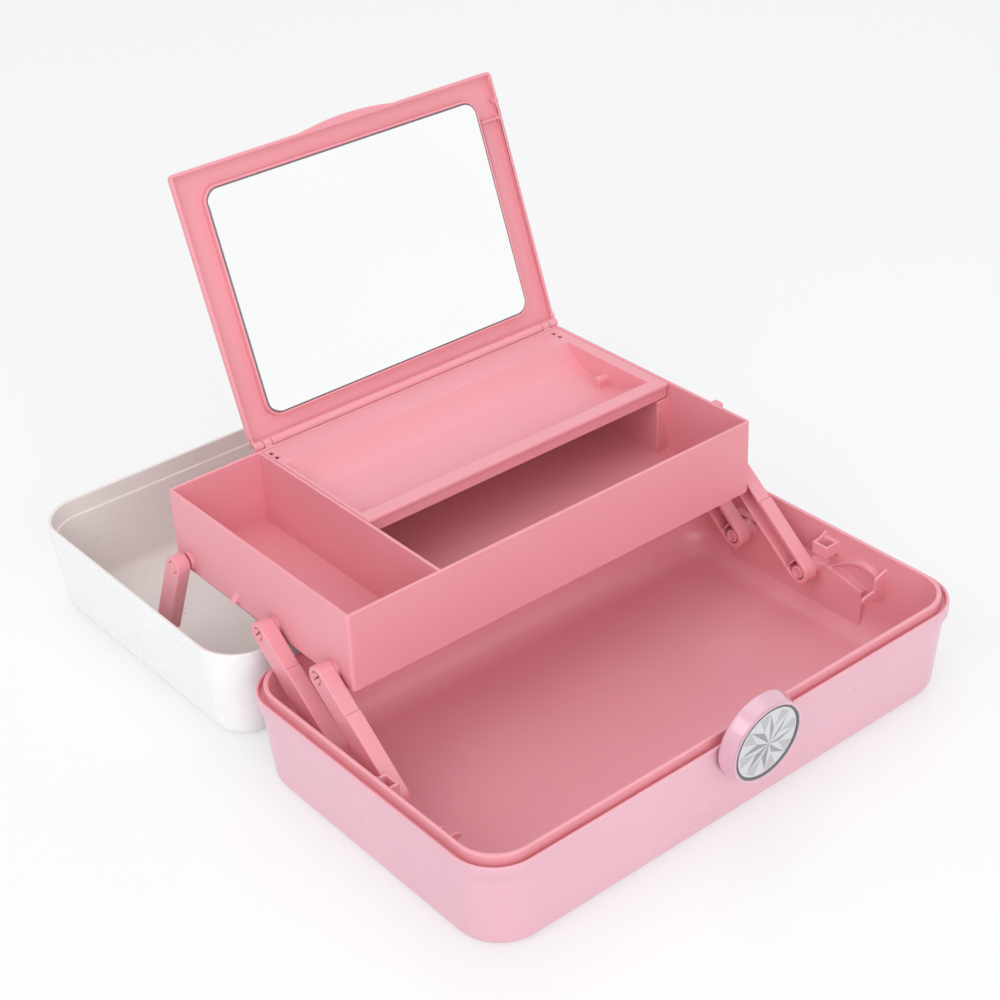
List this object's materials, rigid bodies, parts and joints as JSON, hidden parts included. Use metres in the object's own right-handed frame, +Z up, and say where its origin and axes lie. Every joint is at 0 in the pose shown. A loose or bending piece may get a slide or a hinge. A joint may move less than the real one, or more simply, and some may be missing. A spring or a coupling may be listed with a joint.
{
  "type": "vanity case",
  "caption": "Hinged carry case with a cantilever tray on swing arms, a lift-up mirror, a dished shelf, a round front latch and a folding handle.",
  "frame": {"origin": "centre of the underside of the base", "axes": "+X to the case's right seen from the front latch, +Y to the hinge side where the open lid lies, +Z up"},
  "size_m": [0.33, 0.4291, 0.2629],
  "materials": {
    "pink_plastic": "fine moulded grain",
    "pink_gloss": "polished",
    "pearl_plastic": "pearl white outside, warm grey inside",
    "mirror_glass": "silvered glass",
    "dark_trim": "polished",
    "silver_disc": "satin",
    "steel_pin": "drawn"
  },
  "bodies": {
    "base": {"base_tub": "pink_plastic", "base_pivot_pins": "pink_plastic", "lid_hinge_pins": "steel_pin", "latch_pin": "steel_pin"},
    "lid": {"lid_shell": "pearl_plastic", "lid_link_pins": "pink_plastic", "handle_pins": "steel_pin"},
    "front_arms": {"front_arm_right": "pink_plastic", "front_arm_left": "pink_plastic"},
    "rear_arms": {"rear_arm_right": "pink_plastic", "rear_arm_left": "pink_plastic"},
    "tray": {"cantilever_tray": "pink_plastic", "tray_pivot_pins": "pink_plastic", "tray_shelf": "pink_plastic", "mirror_hinge_pins": "steel_pin"},
    "mirror": {"mirror_frame": "pink_plastic", "mirror_glass": "mirror_glass"},
    "lid_links": {"lid_link_right": "pink_plastic", "lid_link_left": "pink_plastic"},
    "latch": {"latch_body": "pink_gloss", "latch_ring": "dark_trim", "latch_disc": "silver_disc"},
    "handle": {"carry_handle": "pink_gloss"}
  },
  "joints": [
    {"name": "lid_hinge", "type": "hinge", "parent": "base", "child": "lid", "pos_m": [0, 0.1056, 0.0565], "axis": [1, 0, 0], "range_deg": [0, 180]},
    {"name": "front_arm_swing", "type": "hinge", "parent": "base", "child": "front_arms", "pos_m": [0, -0.002, 0.033], "axis": [1, 0, 0], "range_deg": [0, 124.3]},
    {"name": "rear_arm_swing", "type": "hinge", "parent": "base", "child": "rear_arms", "pos_m": [0, 0.049, 0.033], "axis": [1, 0, 0], "range_deg": [0, 124.3]},
    {"name": "tray_swing", "type": "hinge", "parent": "front_arms", "child": "tray", "pos_m": [0, 0.05093, 0.07617], "axis": [1, 0, 0], "range_deg": [-124.3, 0]},
    {"name": "mirror_hinge", "type": "hinge", "parent": "tray", "child": "mirror", "pos_m": [0, 0.19883, 0.11657], "axis": [1, 0, 0], "range_deg": [0, 110]},
    {"name": "link_swing", "type": "hinge", "parent": "lid", "child": "lid_links", "pos_m": [0, 0.20237, 0.03161], "axis": [1, 0, 0], "range_deg": [0, 39.9]},
    {"name": "latch_hinge", "type": "hinge", "parent": "base", "child": "latch", "pos_m": [0, -0.1045, 0.033], "axis": [1, 0, 0], "range_deg": [-5.2, 30]},
    {"name": "handle_hinge", "type": "hinge", "parent": "lid", "child": "handle", "pos_m": [0, 0.2272, 0.0033], "axis": [1, 0, 0], "range_deg": [0, 90]}
  ],
  "couplings": [
    {"joint": "front_arm_swing", "follows": "lid_hinge", "ratio": 0.6905},
    {"joint": "rear_arm_swing", "follows": "lid_hinge", "ratio": 0.6905},
    {"joint": "tray_swing", "follows": "lid_hinge", "ratio": -0.6905},
    {"joint": "mirror_hinge", "follows": "lid_hinge", "ratio": 0.611},
    {"joint": "link_swing", "follows": "lid_hinge", "ratio": 0.2214}
  ]
}
